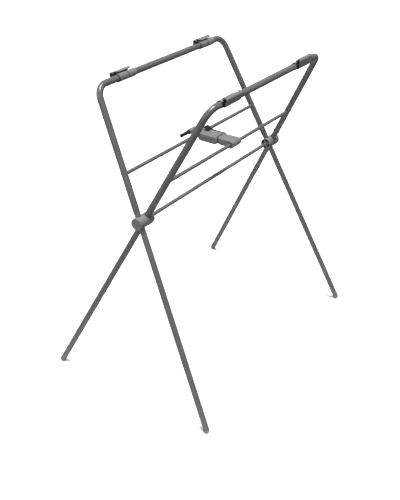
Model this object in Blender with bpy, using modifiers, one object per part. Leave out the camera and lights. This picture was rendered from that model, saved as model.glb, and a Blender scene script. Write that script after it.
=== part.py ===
"""Folding tub stand: two U-shaped tube frames crossed on a hub axle, four rim clips and a hooked brace.

Metres, +Z up. The floor is Z = 0 and X runs along the hub axle. The back frame has its top bar at +Y and
its feet at -Y, and the front frame the other way round. "near" is the -X side and "far" the +X side.
A frame's own coordinates start at the hub axis: x along the axle, z up along the frame, y normal to it.
"""
import math

import bmesh
import bpy
from mathutils import Matrix, Vector

# Frames
HUB_HEIGHT = 0.6080
LEAN = math.radians(26.7)
BAR_REACH = 0.4088          # hub axis to top bar, along the frame
ROD_REACH = 0.1478          # hub axis to cross rod, along the frame
SPAN = 0.756                # one frame's side tubes, centre to centre, at the hub
SPAN_MIDDLE = -0.0077
TUBE_PITCH = 0.0245         # back and front side tubes, centre to centre, in a hub
SPLAY = {"back": 0.1158, "front": 0.1386}    # sideways run of a side tube for each unit along the frame
CORNER_RADIUS = 0.043
SIGN = {"back": 1, "front": -1}
SIDE = {"near": -1, "far": 1}

# Tubes and rods, as outer radii
UPPER_TUBE = 0.0101
LEG_TUBE = 0.0093
CROSS_ROD = 0.00575
AXLE = 0.006
JOURNAL = 0.004
TUBE_WALL = 0.0005
LEG_WALL = 0.0010
TUBE_JOINT = 0.033          # lower end of the U tube above the hub axis
PLUG_DEPTH = 0.060          # how far the leg goes up into the U tube
RIVET_REACH = 0.051
FOOT_CAP = 0.006            # visible thickness of a foot's cap
FOOT_ROUND = 0.0015

# Hubs, as distances along x from the back frame's tube
HUB_RADIUS = 0.0193
HUB_START = -0.0187
HUB_SPLIT = 0.0119
HUB_END = 0.0480
CAP_THICKNESS = 0.0025
NUT_RADIUS = 0.0055
NUT_THICKNESS = 0.0024

# Rim clips, in the clip's own coordinates: x along the bar, y outwards, z up, zero on the bar's axis
CLIP_MIDDLE = -0.0099
CLIP_SPREAD = 0.21375
CLIP_HALF = 0.048
CLIP_TILT = {"near": math.radians(-17), "far": 0.0}
CLIP_SKIN_END = 0.0345
BUSH_INNER = 0.0103
BUSH_OUTER = 0.0109
SLEEVE_INNER = 0.0112
SLEEVE_OUTER = 0.0123
SLEEVE_START = -0.033
SLEEVE_END = 0.045
CLAMP_END = 0.0095
CLAMP_FROM = math.radians(77)
CLAMP_TO = math.radians(270)
HOOK_Y, HOOK_Z = 0.0078, 0.0148
HOOK_OUTER = 0.0068
HOOK_INNER = 0.0046
HOOK_TURN = math.radians(115)
LIP_LENGTH = 0.009

# Brace, with y and z from the front cross rod's axis
BRACE_NEAR = -0.0157
BRACE_FAR = 0.0343
ARM_TOP = 0.012
ARM_BOTTOM = -0.0085
REAR_BOTTOM = -0.0115
NOSE = 0.0123
ELBOW_Y, ELBOW_Z = 0.0664, -0.0012
SHOULDER = 0.0440           # end face of the front arm, at full width
LEDGE_END = 0.0520          # the front arm's narrow top ledge, between the cheeks
CHEEK_START = 0.0495        # front end of the rear arm's cheeks
SKIN_START = 0.0558         # front end of its top
CHEEK = 0.0045
LEVER_Y, LEVER_Z = 0.0840, 0.0020
GRIP_Y, GRIP_Z = 0.0110, 0.0185    # from the back cross rod
LUG = 0.0085

WELD = 0.00001
GAP = 0.0003
SIDES = 16

COLOURS = {
    "tube_grey": ((0.115, 0.115, 0.113), 0.32, 0.0),
    "moulded_grey": ((0.235, 0.240, 0.222), 0.5, 0.0),
    "soft_black": ((0.012, 0.012, 0.012), 0.6, 0.0),
    "steel": ((0.55, 0.55, 0.55), 0.3, 1.0),
}


# ---------------------------------------------------------------- scene and small helpers

def clear_scene():
    for obj in list(bpy.data.objects):
        bpy.data.objects.remove(obj, do_unlink=True)


def make_collection(name):
    collection = bpy.data.collections.new(name)
    bpy.context.scene.collection.children.link(collection)
    return collection


def make_materials():
    for name, (colour, roughness, metallic) in COLOURS.items():
        material = bpy.data.materials.new(name)
        material.use_nodes = True
        shader = material.node_tree.nodes["Principled BSDF"]
        shader.inputs["Base Color"].default_value = (*colour, 1)
        shader.inputs["Roughness"].default_value = roughness
        shader.inputs["Metallic"].default_value = metallic


def make_empty(name, location, rotation=(0, 0, 0), parent=None):
    empty = bpy.data.objects.new(name, None)
    PARTS.objects.link(empty)
    empty.location = location
    empty.rotation_euler = rotation
    empty.parent = parent
    return empty


def place(mesh, name, material, parent=None):
    """One named part, made of a finished mesh."""
    obj = bpy.data.objects.new(name, mesh)
    PARTS.objects.link(obj)
    obj.parent = parent
    if not mesh.materials:
        mesh.materials.append(bpy.data.materials[material])
    return obj


def shade(mesh):
    mesh.shade_smooth()
    mesh.set_sharp_from_angle(angle=math.radians(35))
    return mesh


def mesh_from(bm):
    mesh = bpy.data.meshes.new("shape")
    bm.to_mesh(mesh)
    bm.free()
    return mesh


def welded(mesh):
    """The mesh with corners that lie together joined."""
    bm = bmesh.new()
    bm.from_mesh(mesh)
    bmesh.ops.remove_doubles(bm, verts=bm.verts, dist=WELD)
    return mesh_from(bm)


def combine(mesh, tools, operation="DIFFERENCE"):
    """The mesh after a Boolean with each tool mesh in turn."""
    body = bpy.data.objects.new("body", mesh)
    CUTTERS.objects.link(body)
    cutters = []
    for tool in tools:
        cutter = bpy.data.objects.new("cutter", tool)
        CUTTERS.objects.link(cutter)
        cutter.hide_render = True
        cutter.display_type = "WIRE"
        modifier = body.modifiers.new("cut", "BOOLEAN")
        modifier.operation = operation
        modifier.object = cutter
        cutters.append(cutter)
    bpy.context.view_layer.update()
    result = bpy.data.meshes.new_from_object(body.evaluated_get(bpy.context.evaluated_depsgraph_get()))
    for obj in [body] + cutters:
        bpy.data.objects.remove(obj, do_unlink=True)
    return welded(result)


def cylinder(radius, start, end, sides=SIDES, end_radius=None):
    """A closed cylinder or cone between two points."""
    start, end = Vector(start), Vector(end)
    run = end - start
    bm = bmesh.new()
    turn = run.to_track_quat("Z", "Y").to_matrix().to_4x4()
    bmesh.ops.create_cone(bm, cap_ends=True, segments=sides, radius1=radius,
                          radius2=radius if end_radius is None else end_radius, depth=run.length,
                          matrix=Matrix.Translation((start + end) / 2) @ turn)
    return mesh_from(bm)


def box(low, high):
    low, high = Vector(low), Vector(high)
    bm = bmesh.new()
    bmesh.ops.create_cube(bm, size=1, matrix=Matrix.LocRotScale((low + high) / 2, None, high - low))
    return mesh_from(bm)


def evaluated_curve(curve):
    """The mesh of a curve object, with its loose caps welded."""
    obj = bpy.data.objects.new("curve", curve)
    CUTTERS.objects.link(obj)
    bpy.context.view_layer.update()
    mesh = bpy.data.meshes.new_from_object(obj.evaluated_get(bpy.context.evaluated_depsgraph_get()))
    bpy.data.objects.remove(obj, do_unlink=True)
    return welded(mesh)


def sweep(points, radius, sides=SIDES, caps=True):
    """A round bar along a line of points; without caps it is an open skin for Solidify."""
    curve = bpy.data.curves.new("line", "CURVE")
    curve.dimensions = "3D"
    curve.bevel_depth = radius
    curve.bevel_resolution = (sides - 4) // 2
    curve.use_fill_caps = caps
    spline = curve.splines.new("POLY")
    spline.points.add(len(points) - 1)
    for point, place_at in zip(spline.points, points):
        point.co = (*place_at, 1)
    return evaluated_curve(curve)


def thicken(skin, wall):
    """A tube wall of the given thickness inside an open skin."""
    obj = bpy.data.objects.new("skin", skin)
    CUTTERS.objects.link(obj)
    solidify = obj.modifiers.new("wall", "SOLIDIFY")
    solidify.thickness = wall
    solidify.offset = -1
    bpy.context.view_layer.update()
    mesh = bpy.data.meshes.new_from_object(obj.evaluated_get(bpy.context.evaluated_depsgraph_get()))
    bpy.data.objects.remove(obj, do_unlink=True)
    return mesh


def extrude_x(outlines, x_low, x_high):
    """A flat outline in the YZ plane, with holes as further outlines, pulled out along X."""
    curve = bpy.data.curves.new("outline", "CURVE")
    curve.dimensions = "2D"
    curve.fill_mode = "BOTH"
    curve.extrude = (x_high - x_low) / 2
    for outline in outlines:
        spline = curve.splines.new("POLY")
        spline.use_cyclic_u = True
        spline.points.add(len(outline) - 1)
        for point, (y, z) in zip(spline.points, outline):
            point.co = (y, z, 0, 1)
    mesh = evaluated_curve(curve)
    upright = Matrix(((0, 0, 1, (x_low + x_high) / 2), (1, 0, 0, 0), (0, 1, 0, 0), (0, 0, 0, 1)))
    mesh.transform(upright)
    return mesh


def arc(centre, radius, start, end, steps):
    """Points of an arc, by angles in radians from the first axis."""
    for step in range(steps + 1):
        angle = start + (end - start) * step / steps
        yield (centre[0] + radius * math.cos(angle), centre[1] + radius * math.sin(angle))


def degrees_arc(centre, radius, start, end, steps):
    return list(arc(centre, radius, math.radians(start), math.radians(end), steps))


def lathe_x(profile, sides=SIDES):
    """A solid turned about the X axis from (x, radius) pairs that run along its outer side."""
    bm = bmesh.new()
    rings = []
    for x, radius in profile:
        ring = [bm.verts.new((x, radius * math.cos(t), radius * math.sin(t)))
                for t in (2 * math.pi * i / sides for i in range(sides))]
        rings.append(ring)
    for first, second in zip(rings, rings[1:]):
        for i in range(sides):
            j = (i + 1) % sides
            bm.faces.new((first[i], second[i], second[j], first[j]))
    bm.faces.new(rings[0])
    bm.faces.new(reversed(rings[-1]))
    bmesh.ops.recalc_face_normals(bm, faces=bm.faces)
    return mesh_from(bm)


# ---------------------------------------------------------------- frames

def tube_x(frame, side):
    """Where a side tube crosses the hub axis."""
    return SPAN_MIDDLE + SIDE[side] * SPAN / 2 - SIGN[frame] * TUBE_PITCH / 2


def on_tube(frame, side, reach):
    """A point of a side tube's centre line, in the frame's coordinates."""
    return Vector((tube_x(frame, side) - SIDE[side] * SPLAY[frame] * reach, 0, reach))


def foot_reach(frame, length_on=0.0):
    """Reach of a leg's end: the rim of its cap just touches the floor."""
    tilt = math.acos(math.cos(LEAN) / math.hypot(1, SPLAY[frame]))
    flat = LEG_TUBE - FOOT_ROUND
    height = flat * math.sin(tilt) + FOOT_ROUND * (1 - math.cos(tilt))
    return -(HUB_HEIGHT - height) / math.cos(LEAN) + length_on


def corner(before, at, after, radius, steps=9):
    """Points of a round bend that replaces a sharp corner."""
    to_before, to_after = (before - at).normalized(), (after - at).normalized()
    half = to_before.angle(to_after) / 2
    centre = at + (to_before + to_after).normalized() * (radius / math.sin(half))
    start = at + to_before * (radius / math.tan(half)) - centre
    end = at + to_after * (radius / math.tan(half)) - centre
    turn = start.angle(end)
    for step in range(steps + 1):
        part = step / steps
        blend = (start * math.sin((1 - part) * turn) + end * math.sin(part * turn)) / math.sin(turn)
        yield centre + blend


def upper_tube(frame, parent):
    near, far = on_tube(frame, "near", BAR_REACH), on_tube(frame, "far", BAR_REACH)
    foot_near, foot_far = on_tube(frame, "near", TUBE_JOINT), on_tube(frame, "far", TUBE_JOINT)
    points = [foot_near, *corner(foot_near, near, far, CORNER_RADIUS),
              *corner(near, far, foot_far, CORNER_RADIUS), foot_far]
    tube = thicken(sweep(points, UPPER_TUBE, caps=False), TUBE_WALL)
    holes = []
    for side in SIDE:
        rod_at = on_tube(frame, side, ROD_REACH)
        inwards = Vector((-SIDE[side] * 2 * UPPER_TUBE, 0, 0))
        holes.append(cylinder(CROSS_ROD + 2 * GAP, rod_at, rod_at + inwards))
        holes.append(rivet_hole(frame, side))
    mesh = shade(combine(tube, holes))
    place(mesh, f"{frame}_upper_tube", "tube_grey", parent)


def rivet_hole(frame, side):
    at = on_tube(frame, side, RIVET_REACH)
    reach = Vector((0, 2 * UPPER_TUBE, 0))
    return cylinder(0.0024, at - reach, at + reach, 12)


def leg(frame, side, parent):
    top = on_tube(frame, side, TUBE_JOINT + PLUG_DEPTH)
    along = (on_tube(frame, side, 0) - top).normalized()
    end = on_tube(frame, side, foot_reach(frame)) - along * (FOOT_CAP + GAP)
    tube = thicken(sweep([top, end], LEG_TUBE, caps=False), LEG_WALL)
    centre = on_tube(frame, side, 0)
    wide = Vector((2 * LEG_TUBE, 0, 0))
    pivot_hole = cylinder(JOURNAL + GAP, centre - wide, centre + wide, 12)
    mesh = shade(combine(tube, [pivot_hole, rivet_hole(frame, side)]))
    place(mesh, f"{frame}_{side}_leg", "tube_grey", parent)


def foot(frame, side, parent):
    """A plug in the tube's end with a flush round cap."""
    end = on_tube(frame, side, foot_reach(frame))
    axis = (on_tube(frame, side, 0) - end).normalized()
    inside = LEG_TUBE - LEG_WALL - GAP
    profile = [(0, LEG_TUBE - FOOT_ROUND), (FOOT_ROUND * 0.3, LEG_TUBE - FOOT_ROUND * 0.3),
               (FOOT_ROUND, LEG_TUBE), (FOOT_CAP, LEG_TUBE), (FOOT_CAP, inside),
               (FOOT_CAP + 0.018, inside), (FOOT_CAP + 0.020, inside - 0.001)]
    mesh = lathe_x(profile)
    mesh.transform(Matrix.Translation(end) @ axis.to_track_quat("X", "Z").to_matrix().to_4x4())
    place(shade(mesh), f"{frame}_{side}_foot", "moulded_grey", parent)


def rivet(frame, side, parent):
    """A tubular rivet through the U tube and the leg, with a domed head on the outer side."""
    at = on_tube(frame, side, RIVET_REACH)
    head = UPPER_TUBE + 0.0002
    profile = [(-head - 0.0012, 0.0018), (-head - 0.0008, 0.0032), (-head, 0.0036), (-head, 0.0021),
               (head, 0.0021), (head, 0.0034), (head + 0.0008, 0.0030), (head + 0.0011, 0.0016)]
    mesh = lathe_x(profile, 12)
    mesh.transform(Matrix.Translation(at) @ Matrix.Rotation(math.pi / 2, 4, "Z"))
    place(shade(mesh), f"{frame}_{side}_rivet", "steel", parent)


def cross_rod(frame, parent):
    depth = UPPER_TUBE - TUBE_WALL - 0.003
    ends = [on_tube(frame, side, ROD_REACH) - Vector((SIDE[side] * depth, 0, 0)) for side in SIDE]
    rod = thicken(sweep(ends, CROSS_ROD, caps=False), TUBE_WALL)
    place(shade(rod), f"{frame}_cross_rod", "tube_grey", parent)


def build_frame(frame):
    parent = make_empty(f"{frame}_frame_axis", (0, 0, HUB_HEIGHT), (-SIGN[frame] * LEAN, 0, 0))
    upper_tube(frame, parent)
    cross_rod(frame, parent)
    for side in SIDE:
        leg(frame, side, parent)
        foot(frame, side, parent)
        rivet(frame, side, parent)
    return parent


# ---------------------------------------------------------------- hubs

def tube_bore(frame, side, clearance):
    low, high = on_tube(frame, side, -0.05), on_tube(frame, side, 0.05)
    return cylinder(LEG_TUBE + clearance, low, high, 20)


def tube_slot(side):
    """The upper mouth of a front housing is wider than its tube, on the -X side."""
    shift = Vector((-0.0016, 0, 0))
    low, high = on_tube("front", side, 0.009), on_tube("front", side, 0.05)
    return cylinder(LEG_TUBE, low + shift, high + shift, 20)


def bar_x(radius, x_low, x_high, sides=SIDES):
    return cylinder(radius, (x_low, 0, 0), (x_high, 0, 0), sides)


def pockets(x_low, x_high):
    """Four moulded pockets round the axle in the open face of a hub."""
    outline = degrees_arc((0, 0), 0.0155, 15, 75, 5) + degrees_arc((0, 0), 0.0095, 75, 15, 4)
    for quarter in range(4):
        mesh = extrude_x([outline], x_low, x_high)
        mesh.transform(Matrix.Rotation(quarter * math.pi / 2, 4, "X"))
        yield mesh


def back_housing(side, parent):
    """The hub half that grips the back frame's tube."""
    base = tube_x("back", side)
    start = base + HUB_START + (CAP_THICKNESS + GAP if side == "near" else 0)
    end = base + HUB_SPLIT
    edge = 0.0012
    solid = lathe_x([(start, HUB_RADIUS - edge), (start + edge, HUB_RADIUS), (end, HUB_RADIUS)], 24)
    cuts = [tube_bore("back", side, GAP), bar_x(JOURNAL + GAP, start - 0.01, end + 0.01, 12)]
    if side == "near":
        cuts.append(bar_x(NUT_RADIUS + 0.0008, start - 0.01, base - LEG_TUBE, 12))
    else:
        cuts.append(bar_x(AXLE + GAP, start - 0.01, base - LEG_TUBE, SIDES))
        cuts.extend(pockets(start - 0.001, start + 0.0032))
    place(shade(combine(solid, cuts)), f"{side}_hub_back_housing", "moulded_grey", parent)


def front_housing(side, parent):
    """The hub half that grips the front frame's tube and turns on the axle."""
    base = tube_x("back", side)
    start, end = base + HUB_SPLIT + GAP, base + HUB_END
    stop = tube_x("front", side) + LEG_TUBE + 0.001
    edge = 0.0025
    if side == "far":
        end -= CAP_THICKNESS + GAP
    solid = lathe_x([(start, HUB_RADIUS), (end - edge, HUB_RADIUS), (end, HUB_RADIUS - edge)], 24)
    pocket = AXLE if side == "near" else NUT_RADIUS + 0.0015
    cuts = [tube_bore("front", side, 0.0006), tube_slot(side),
            bar_x(JOURNAL + GAP, start - 0.01, end + 0.01, 12),
            bar_x(pocket + GAP, stop, end + 0.01, SIDES)]
    place(shade(combine(solid, cuts)), f"{side}_hub_front_housing", "moulded_grey", parent)


def hub_cap(side, parent):
    """A round cover over the nut, with a shallow concentric step."""
    base = tube_x("back", side)
    outside = base + (HUB_START if side == "near" else HUB_END)
    inwards = 1 if side == "near" else -1
    profile = [(0.0006, 0.006), (0.0006, 0.0095), (0.0, 0.0100), (0.0, HUB_RADIUS - 0.0015),
               (0.0012, HUB_RADIUS), (CAP_THICKNESS, HUB_RADIUS)]
    mesh = lathe_x([(outside + inwards * depth, radius) for depth, radius in profile], 24)
    place(shade(mesh), f"{side}_hub_cap", "moulded_grey", parent)


def axle(parent):
    """The rod between the hubs; its journals run through both tubes at each end."""
    nut_near = tube_x("back", "near") - LEG_TUBE - 0.0010
    nut_far = tube_x("front", "far") + LEG_TUBE + 0.0013
    shoulder_near = tube_x("front", "near") + LEG_TUBE + 0.0013
    shoulder_far = tube_x("back", "far") - LEG_TUBE - 0.0013
    tip = NUT_THICKNESS + 0.0002
    profile = [(nut_near - tip, 0.0030), (nut_near + GAP, 0.0030), (nut_near + GAP, JOURNAL),
               (shoulder_near, JOURNAL), (shoulder_near, AXLE), (shoulder_far, AXLE),
               (shoulder_far, JOURNAL), (nut_far - GAP, JOURNAL), (nut_far - GAP, 0.0030),
               (nut_far + tip, 0.0030)]
    place(shade(lathe_x(profile)), "axle_rod", "tube_grey", parent)
    for side, start, way in (("near", nut_near, -1), ("far", nut_far, 1)):
        nut = bar_x(NUT_RADIUS, start, start + way * NUT_THICKNESS, 6)
        bore = bar_x(0.0033, start - way * 0.001, start + way * 2 * NUT_THICKNESS, 12)
        place(combine(nut, [bore]), f"{side}_axle_nut", "steel", parent)


def build_hubs(back, front):
    axle(back)
    for side in SIDE:
        back_housing(side, back)
        front_housing(side, front)
    hub_cap("near", back)
    hub_cap("far", front)


# ---------------------------------------------------------------- rim clips

def skin_radius(angle):
    """The clip's outer skin leaves the sleeve below the bar and stands proud on the outer side."""
    part = (angle + math.radians(88)) / math.radians(88)
    return SLEEVE_OUTER + 0.0017 * part


def clip_section():
    """Hook and full sleeve: outer skin, curled hook, lip and channel, then the bush's bore."""
    outer = []
    for step in range(7):
        angle = math.radians(-88 + 88 * step / 6)
        outer.append((skin_radius(angle) * math.cos(angle), skin_radius(angle) * math.sin(angle)))
    centre = (HOOK_Y, HOOK_Z)
    outer += list(arc(centre, HOOK_OUTER, math.radians(-12), HOOK_TURN, 8))
    along = (-math.sin(HOOK_TURN), math.cos(HOOK_TURN))
    tip_outer = (outer[-1][0] + LIP_LENGTH * along[0], outer[-1][1] + LIP_LENGTH * along[1])
    inner = list(arc(centre, HOOK_INNER, HOOK_TURN, math.radians(-20), 7))
    tip_inner = (inner[0][0] + (LIP_LENGTH - 0.0006) * along[0],
                 inner[0][1] + (LIP_LENGTH - 0.0006) * along[1])
    floor = [(0.0118, 0.0098), (0.0102, 0.0083)]
    sleeve = degrees_arc((0, 0), SLEEVE_OUTER, 50, 262, 11)
    return outer + [tip_outer, tip_inner] + inner + floor + sleeve


def ring_sector(inner, outer, start, end, steps=10):
    return list(arc((0, 0), outer, start, end, steps)) + list(arc((0, 0), inner, end, start, steps))


def clip_body_mesh():
    bore = degrees_arc((0, 0), SLEEVE_INNER, 360, 18, 19)
    solid = extrude_x([clip_section(), bore], -CLIP_HALF, SLEEVE_END)
    half_room = ring_sector(0.008, SLEEVE_OUTER + 0.0004, CLAMP_FROM - 0.02, CLAMP_TO + 0.02)
    clamp_zone = extrude_x([half_room], SLEEVE_START - 0.001, CLAMP_END)
    shell_room = degrees_arc((0, 0), SLEEVE_OUTER + 0.0007, 0, 342, 19)
    open_start = extrude_x([shell_room], -CLIP_HALF - 0.01, SLEEVE_START)
    end_room = ring_sector(0.009, SLEEVE_OUTER + 0.0007, math.radians(-84), math.radians(66), 12)
    open_end = extrude_x([end_room], CLIP_SKIN_END - 0.010, SLEEVE_END + 0.010)
    cuts = [clamp_zone, open_start, open_end, lip_cut(), skin_cut(), bare_end()]
    return shade(combine(solid, cuts))


def bare_end():
    """Past the skin's end only the sleeve's inner side goes on."""
    square = [(-0.040, -0.040), (0.040, -0.040), (0.040, 0.040), (-0.040, 0.040)]
    sleeve = ring_sector(0.009, SLEEVE_OUTER + 0.0003, math.radians(70), math.radians(290), 16)
    return extrude_x([square, sleeve], CLIP_SKIN_END, SLEEVE_END + 0.010)


def lip_cut():
    """A slanted lead-in cut across the lip, from the hook's crest to the lip's free edge."""
    mesh = box((-0.050, -0.040, 0.0132), (0, 0.0005, 0.030))
    turn = Matrix.Rotation(math.radians(60), 4, "Z")
    mesh.transform(Matrix.Translation((-CLIP_HALF + 0.008, HOOK_Y, 0)) @ turn)
    return mesh


def skin_cut():
    """The outer skin's lower corner is cut back slanting, down to the sleeve."""
    corner_box = box((-0.050, 0.002, -0.050), (0, 0.040, 0))
    turn = Matrix.Rotation(math.radians(35), 4, "Y")
    corner_box.transform(Matrix.Translation((-CLIP_HALF + 0.003, 0, -0.001)) @ turn)
    return combine(corner_box, [bar_x(SLEEVE_OUTER + 0.0003, -0.1, 0.1, 32)])


def clip_clamp_mesh():
    outline = ring_sector(SLEEVE_INNER, SLEEVE_OUTER, CLAMP_FROM, CLAMP_TO, 11)
    return shade(extrude_x([outline], SLEEVE_START, CLAMP_END - 0.0018))


def clip_bush_mesh():
    outline = degrees_arc((0, 0), BUSH_OUTER, 0, 342, 19)
    bore = degrees_arc((0, 0), BUSH_INNER, 342, 0, 19)
    return shade(extrude_x([outline, bore], SLEEVE_START - 0.0025, SLEEVE_END - 0.001))


def clip_pad_mesh():
    """A soft strip that lines the hook's channel."""
    centre = (HOOK_Y, HOOK_Z)
    low = math.radians(-8)
    high = HOOK_TURN
    outline = list(arc(centre, HOOK_INNER - GAP, low, high, 7)) + list(
        arc(centre, HOOK_INNER - 0.0015, high, low, 6))
    return shade(extrude_x([outline], -CLIP_HALF + 0.003, CLIP_SKIN_END - 0.002))


def build_clips():
    meshes = {"body": (clip_body_mesh(), "moulded_grey"), "clamp": (clip_clamp_mesh(), "moulded_grey"),
              "bush": (clip_bush_mesh(), "soft_black"), "pad": (clip_pad_mesh(), "soft_black")}
    for frame in SIGN:
        bar = Vector((0, SIGN[frame] * math.sin(LEAN) * BAR_REACH,
                      HUB_HEIGHT + math.cos(LEAN) * BAR_REACH))
        for side in SIDE:
            bar.x = CLIP_MIDDLE + SIDE[side] * CLIP_SPREAD
            about = math.pi if frame == "front" else 0
            axis = make_empty(f"{frame}_{side}_clip_axis", bar, (CLIP_TILT[side], 0, about))
            for piece, (mesh, material) in meshes.items():
                place(mesh, f"{frame}_{side}_clip_{piece}", material, axis)


# ---------------------------------------------------------------- brace

def front_arm(axis):
    """Pivots on the front cross rod; a tongue runs under the rear arm to the elbow pin."""
    outline = degrees_arc((0, 0), NOSE, 300, 95, 13) + [
        (SHOULDER, ARM_TOP), (SHOULDER, ARM_BOTTOM + 0.001), (0.0105, ARM_BOTTOM)]
    body = extrude_x([outline], BRACE_NEAR + 0.0004, BRACE_FAR - 0.0004)
    eye = degrees_arc((ELBOW_Y, ELBOW_Z), 0.0066, -90, 120, 9)
    tongue_outline = [(SHOULDER - 0.006, -0.0070), (ELBOW_Y, ELBOW_Z - 0.0066), *eye[1:],
                      (SHOULDER + 0.008, -0.0018), (SHOULDER - 0.006, -0.0018)]
    middle = (BRACE_NEAR + BRACE_FAR) / 2
    half = (BRACE_FAR - BRACE_NEAR) / 2 - CHEEK - 0.0012
    tongue = extrude_x([tongue_outline], middle - half, middle + half)
    ledge = box((middle - half, SHOULDER - 0.004, ARM_TOP - 0.0024), (middle + half, LEDGE_END, ARM_TOP))
    solid = combine(combine(body, [tongue], "UNION"), [ledge], "UNION")
    wide = (BRACE_NEAR - 0.01, BRACE_FAR + 0.01)
    rod_bore = cylinder(CROSS_ROD + GAP, (wide[0], 0, 0), (wide[1], 0, 0), 20)
    pin_bore = cylinder(0.0028, (wide[0], ELBOW_Y, ELBOW_Z), (wide[1], ELBOW_Y, ELBOW_Z), 12)
    place(shade(combine(solid, [rod_bore, pin_bore])), "brace_front_arm", "moulded_grey", axis)


def rear_arm_outline():
    """Side view from the elbow to the hook that drops over the back cross rod."""
    rod_y = 2 * ELBOW_Y
    room = CROSS_ROD + 0.00045
    mouth = [(rod_y + room, -0.0030)] + degrees_arc((rod_y, 0), room, 0, 153, 9)
    root = (rod_y - 0.0148, REAR_BOTTOM)
    lug = degrees_arc((rod_y + GRIP_Y, GRIP_Z), LUG, -25, 150, 8)
    tip = degrees_arc((rod_y + room + 0.0022, -0.0030), 0.0022, 180, 360, 5)
    start = [(CHEEK_START, ARM_TOP), (CHEEK_START, REAR_BOTTOM + 0.008),
             *degrees_arc((CHEEK_START + 0.008, REAR_BOTTOM + 0.008), 0.008, 180, 270, 4)[1:]]
    return start + [root, *reversed(mouth)] + tip[1:] + lug + [(rod_y - 0.006, ARM_TOP)]


def rear_arm(axis):
    solid = extrude_x([rear_arm_outline()], BRACE_NEAR, BRACE_FAR)
    inside = (BRACE_NEAR + CHEEK, BRACE_FAR - CHEEK)
    pocket = box((inside[0], CHEEK_START - 0.01, REAR_BOTTOM - 0.01),
                 (inside[1], ELBOW_Y + 0.0095, ARM_TOP - 0.0028))
    front_opening = box((inside[0], CHEEK_START - 0.01, 0), (inside[1], SKIN_START, ARM_TOP + 0.01))
    rear_rise = box((BRACE_NEAR + 0.014, 2 * ELBOW_Y - 0.030, ARM_TOP), (BRACE_FAR + 0.01, 0.2, 0.06))
    wide = (BRACE_NEAR - 0.01, BRACE_FAR + 0.01)
    pin_bore = cylinder(0.0028, (wide[0], ELBOW_Y, ELBOW_Z), (wide[1], ELBOW_Y, ELBOW_Z), 12)
    lever_bore = cylinder(0.0022, (BRACE_FAR - 0.012, LEVER_Y, LEVER_Z), (wide[1], LEVER_Y, LEVER_Z), 12)
    spring_room = cylinder(0.0062, (BRACE_FAR - 0.0040, LEVER_Y, LEVER_Z), (wide[1], LEVER_Y, LEVER_Z), 16)
    grip_at = 2 * ELBOW_Y + GRIP_Y
    grip_bore = cylinder(0.0033, (wide[0], grip_at, GRIP_Z), (BRACE_NEAR + 0.011, grip_at, GRIP_Z), 12)
    cuts = [pocket, front_opening, rear_rise, pin_bore, lever_bore, spring_room, grip_bore]
    place(shade(combine(solid, cuts)), "brace_rear_arm", "moulded_grey", axis)


def elbow_pin(axis):
    profile = [(BRACE_NEAR - 0.0009, 0.0018), (BRACE_NEAR - 0.0007, 0.0030), (BRACE_NEAR - GAP, 0.0036),
               (BRACE_NEAR - GAP, 0.0025), (BRACE_FAR + GAP, 0.0025), (BRACE_FAR + GAP, 0.0034),
               (BRACE_FAR + 0.0010, 0.0030)]
    mesh = lathe_x(profile, 12)
    mesh.transform(Matrix.Translation((0, ELBOW_Y, ELBOW_Z)))
    place(shade(mesh), "elbow_pin", "steel", axis)


def release_lever(axis):
    """A flat bar beside the far cheek, flush with the arm's top, and a raised thumb tab over the arm."""
    near_side = BRACE_FAR + 0.0010
    top = ARM_TOP
    bar = [(CHEEK_START, top - 0.0060), (0.0700, top - 0.0065), (LEVER_Y - 0.0090, LEVER_Z - 0.0015),
           *degrees_arc((LEVER_Y, LEVER_Z), 0.0062, 205, 335, 6),
           (LEVER_Y + 0.012, top - 0.0060), (0.1130, top - 0.0040), (0.1235, 0.0215),
           (0.1220, 0.0240), (0.1040, top + 0.0026), (0.0980, top), (CHEEK_START, top)]
    plate = extrude_x([bar], near_side, near_side + 0.0034)
    tab_outline = [(0.1045, 0.0147), (0.1232, 0.0217), (0.1220, 0.0240), (0.1040, 0.0170)]
    tab = extrude_x([tab_outline], near_side - 0.0200, near_side + 0.0030)
    bore = cylinder(0.0023, (near_side - 0.01, LEVER_Y, LEVER_Z), (near_side + 0.01, LEVER_Y, LEVER_Z), 12)
    solid = combine(combine(plate, [tab], "UNION"), [bore])
    solid.transform(Matrix.Translation((0, -LEVER_Y, -LEVER_Z)))
    own = make_empty("release_lever_axis", (0, LEVER_Y, LEVER_Z), (0, 0, 0), axis)
    place(shade(solid), "release_lever", "soft_black", own)


def lever_pin(axis):
    inside, outside = BRACE_FAR - 0.0110, BRACE_FAR + 0.0047
    profile = [(inside, 0.0019), (outside, 0.0019), (outside, 0.0034), (outside + 0.0010, 0.0028)]
    mesh = lathe_x(profile, 12)
    mesh.transform(Matrix.Translation((0, LEVER_Y, LEVER_Z)))
    place(shade(mesh), "lever_pin", "steel", axis)


def lever_spring(axis):
    """A torsion spring round the lever's pin, in its pocket."""
    turns, steps_per_turn, coil_radius, wire = 3, 12, 0.0044, 0.00045
    pitch = 0.00108
    start = BRACE_FAR - 0.0034
    points = []
    for step in range(turns * steps_per_turn + 1):
        angle = 2 * math.pi * step / steps_per_turn
        points.append((start + pitch * step / steps_per_turn, LEVER_Y + coil_radius * math.cos(angle),
                       LEVER_Z + coil_radius * math.sin(angle)))
    place(shade(sweep(points, wire, 8)), "lever_spring", "steel", axis)


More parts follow.
